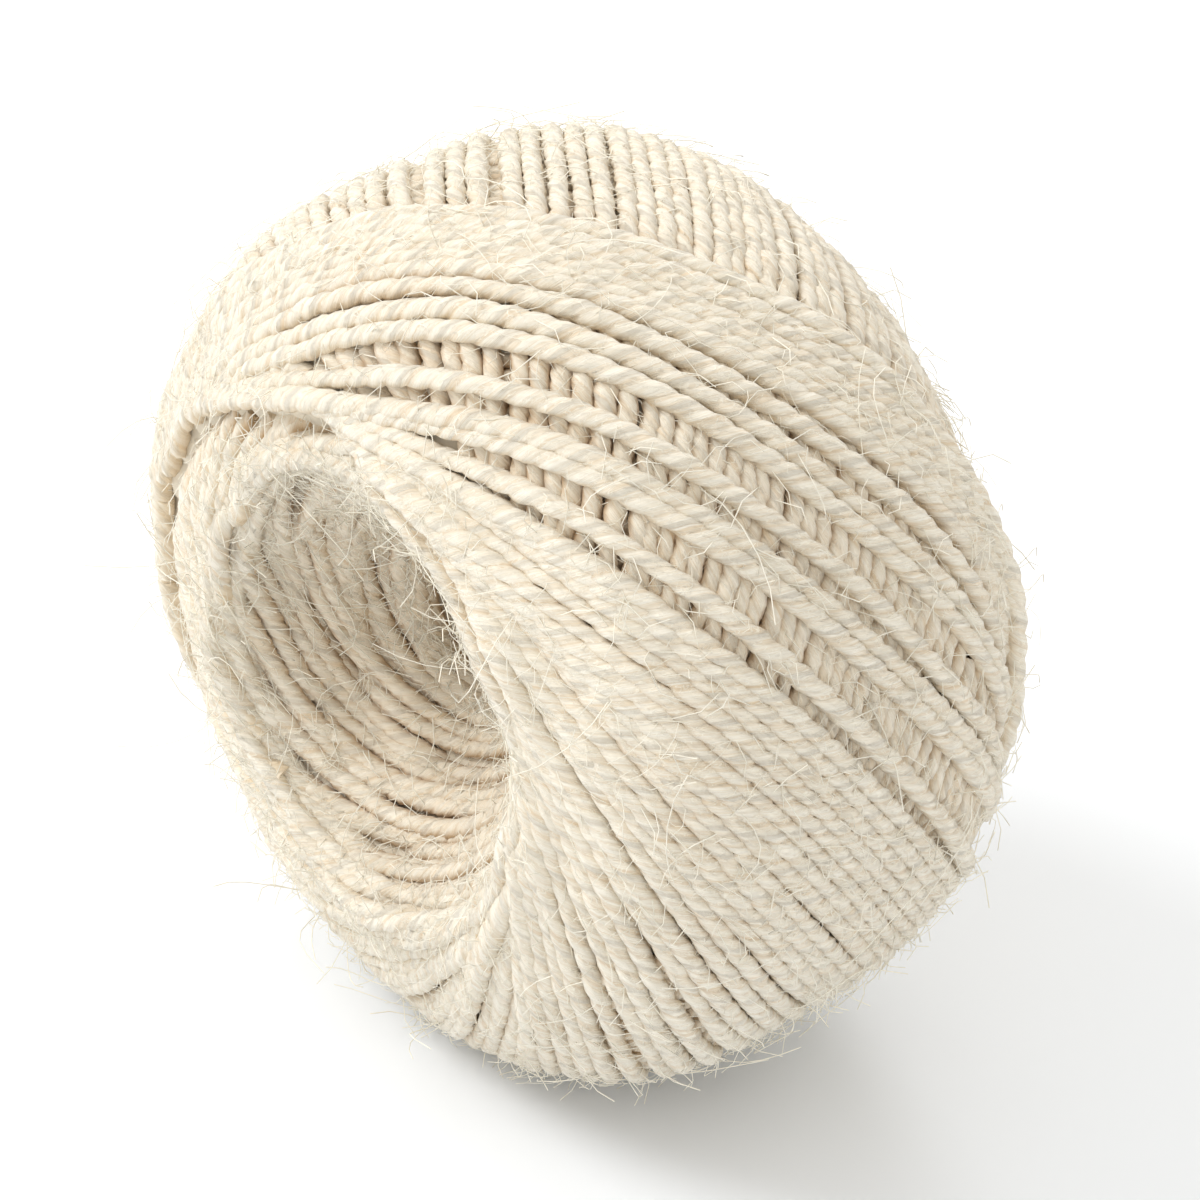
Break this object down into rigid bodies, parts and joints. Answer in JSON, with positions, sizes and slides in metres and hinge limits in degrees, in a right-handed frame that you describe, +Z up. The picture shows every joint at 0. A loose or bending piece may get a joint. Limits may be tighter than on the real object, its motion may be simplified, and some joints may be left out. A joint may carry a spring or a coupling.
{
  "type": "ball of twine",
  "caption": "Barrel-shaped ball of cream two-ply jute twine, machine wound with crossing turns and a funnel-mouthed pull hole through its middle, resting on its side.",
  "frame": {"origin": "middle of the footprint, on the surface that the ball rests on", "axes": "+Z up; the winding axis and pull hole run along Y, the face with the pictured hole looks to -Y, and +X runs across the belt"},
  "size_m": [0.08, 0.0452, 0.0776],
  "materials": {
    "jute": "matt, hairy natural fibre"
  },
  "bodies": {
    "root": {"wound_ball": "jute"}
  },
  "joints": []
}
